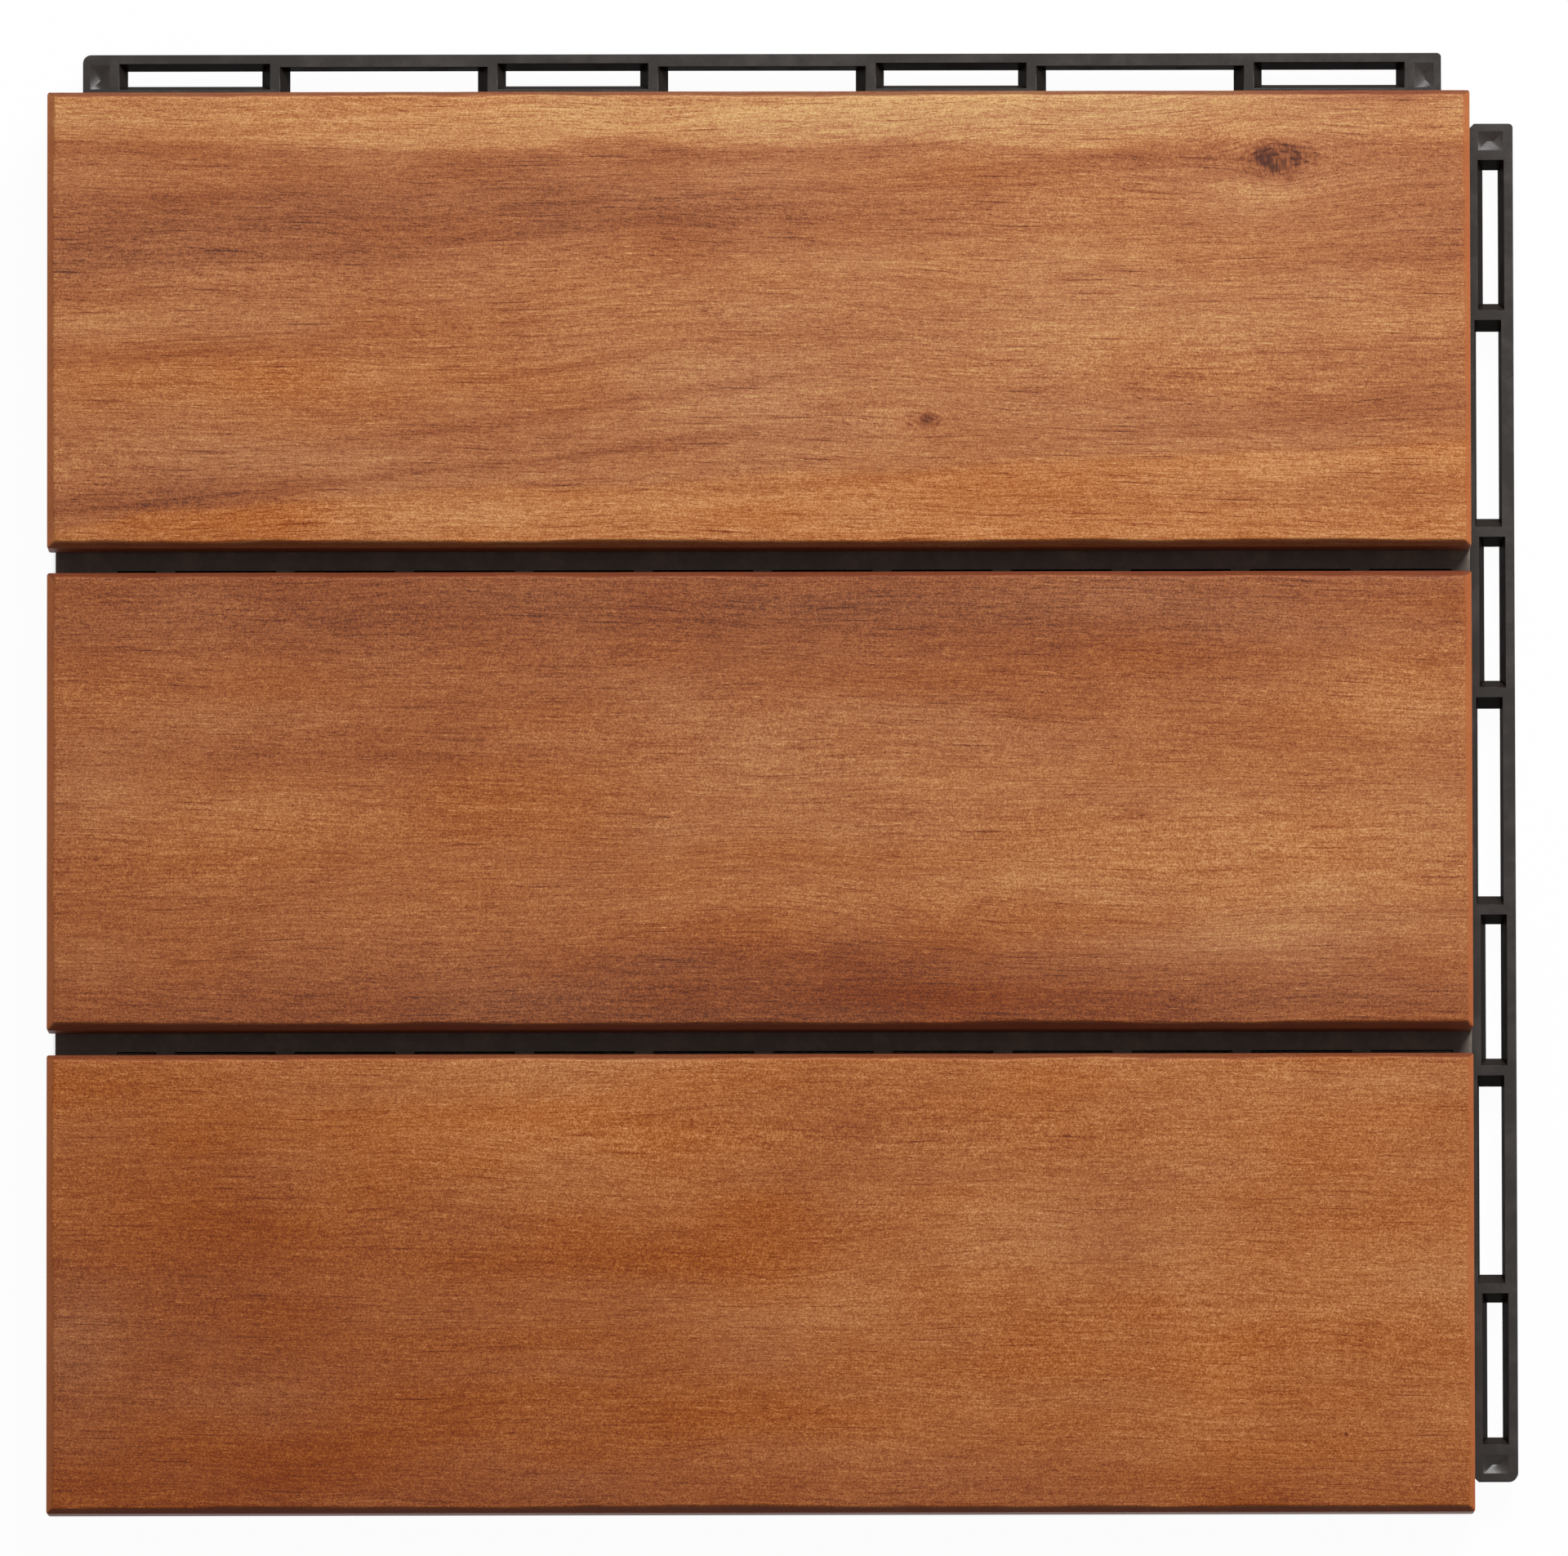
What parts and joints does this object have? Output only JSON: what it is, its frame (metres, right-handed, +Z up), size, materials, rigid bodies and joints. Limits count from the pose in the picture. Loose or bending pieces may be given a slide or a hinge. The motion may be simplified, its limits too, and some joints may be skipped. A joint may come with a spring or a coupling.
{
  "type": "interlocking wooden floor tile",
  "caption": "Square outdoor floor tile of hardwood slats screwed to a black moulded grid base, with socket ladders on two sides and snap pegs under the other two.",
  "frame": {"origin": "on the floor under the middle of the base grid, at the bottom of the central foot", "axes": "+Z up through the walking face, slats run along X, socket ladders stand out on the +Y (north) and +X (east) sides"},
  "size_m": [0.3094, 0.3094, 0.024],
  "materials": {
    "slat_wood": "oiled hardwood, sanded, open grain",
    "base_plastic": "black moulded polypropylene, satin",
    "screw_steel": "zinc plated"
  },
  "bodies": {
    "root": {"base_grid": "base_plastic", "north_slat": "slat_wood", "middle_slat": "slat_wood", "south_slat": "slat_wood", "slat_screws": "screw_steel"}
  },
  "joints": []
}
